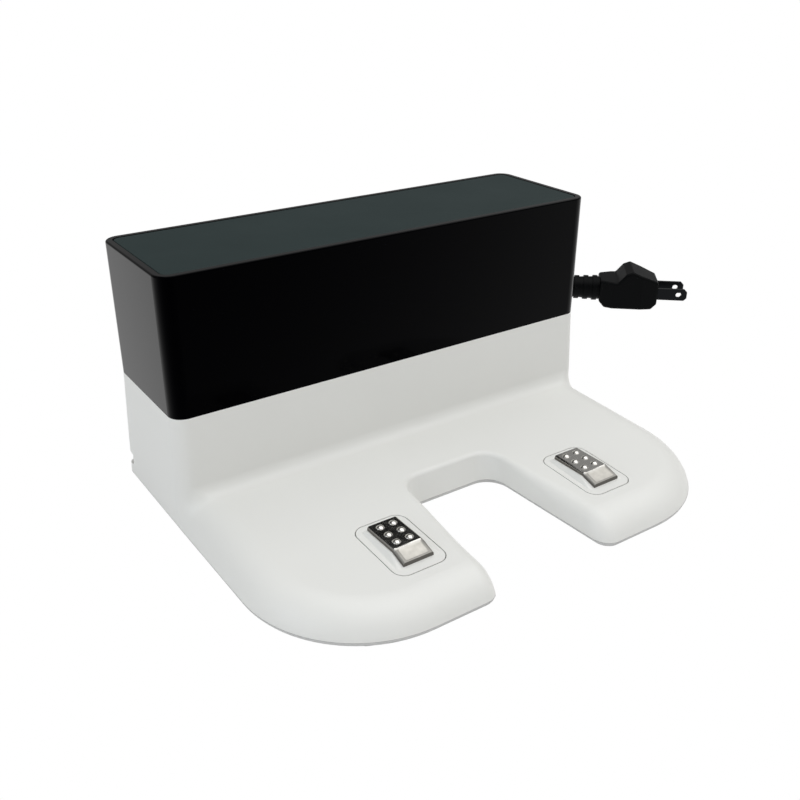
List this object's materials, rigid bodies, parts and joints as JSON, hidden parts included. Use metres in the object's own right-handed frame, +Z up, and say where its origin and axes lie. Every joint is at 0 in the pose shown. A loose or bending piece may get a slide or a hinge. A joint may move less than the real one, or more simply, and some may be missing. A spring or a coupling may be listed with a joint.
{
  "type": "robot vacuum charging dock",
  "caption": "Charging dock for a robot vacuum: forked white ramp with sprung metal contacts, black tower with a dark top, and a coiled mains lead with a plug.",
  "frame": {"origin": "on the floor, under the middle of the dock's own box, without its mains lead", "axes": "+Z up, the robot comes from -Y, +X to the right of a person facing the contacts"},
  "size_m": [0.3257, 0.2349, 0.0927],
  "materials": {
    "white_housing": "fine satin moulded white",
    "black_sleeve": "polished piano black",
    "dark_panel": "matt dark grey",
    "contact_metal": "bright stamped, nickel plated",
    "foot_rubber": "matt soft grip",
    "screw_steel": "zinc plated",
    "circuit_board": "solder mask",
    "transformer_block": "ferrite and tape",
    "capacitor_can": "sleeved can",
    "film_block": "potted box",
    "lamp_resin": "dark clear resin",
    "wire_insulation": "soft insulation",
    "cord_black": "satin black",
    "tie_black": "satin",
    "blade_brass": "nickel plated brass"
  },
  "bodies": {
    "dock": {"base_housing": "white_housing", "base_plate": "white_housing", "upper_cover": "black_sleeve", "top_panel": "dark_panel", "contact_spring_left": "contact_metal", "contact_spring_right": "contact_metal", "foot_front_left": "foot_rubber", "foot_front_right": "foot_rubber", "foot_rear_left": "foot_rubber", "foot_rear_right": "foot_rubber", "base_screws": "screw_steel", "psu_screws": "screw_steel", "beacon_screws": "screw_steel", "psu_board": "circuit_board", "beacon_board": "circuit_board", "transformer": "transformer_block", "bulk_capacitor": "capacitor_can", "filter_capacitor": "film_block", "beacon_leds": "lamp_resin", "contact_lead_left": "wire_insulation", "contact_lead_right": "wire_insulation", "cord_strain_relief": "cord_black", "cord_run": "cord_black", "cord_coil": "cord_black", "cord_lead": "cord_black", "plug_strain_relief": "cord_black", "plug_body": "cord_black", "cord_tie": "tie_black", "plug_blade_left": "blade_brass", "plug_blade_right": "blade_brass"},
    "contact_left": {"contact_carrier_left": "white_housing", "contact_plate_left": "contact_metal"},
    "contact_right": {"contact_carrier_right": "white_housing", "contact_plate_right": "contact_metal"}
  },
  "joints": [
    {"name": "contact_left_press", "type": "slide", "parent": "dock", "child": "contact_left", "axis": [0, 0, -1], "range_m": [0, 0.002], "stiffness_N_per_m": 400, "springref_m": -0.003, "deforming": ["contact_spring_left"]},
    {"name": "contact_right_press", "type": "slide", "parent": "dock", "child": "contact_right", "axis": [0, 0, -1], "range_m": [0, 0.002], "stiffness_N_per_m": 400, "springref_m": -0.003, "deforming": ["contact_spring_right"]}
  ]
}
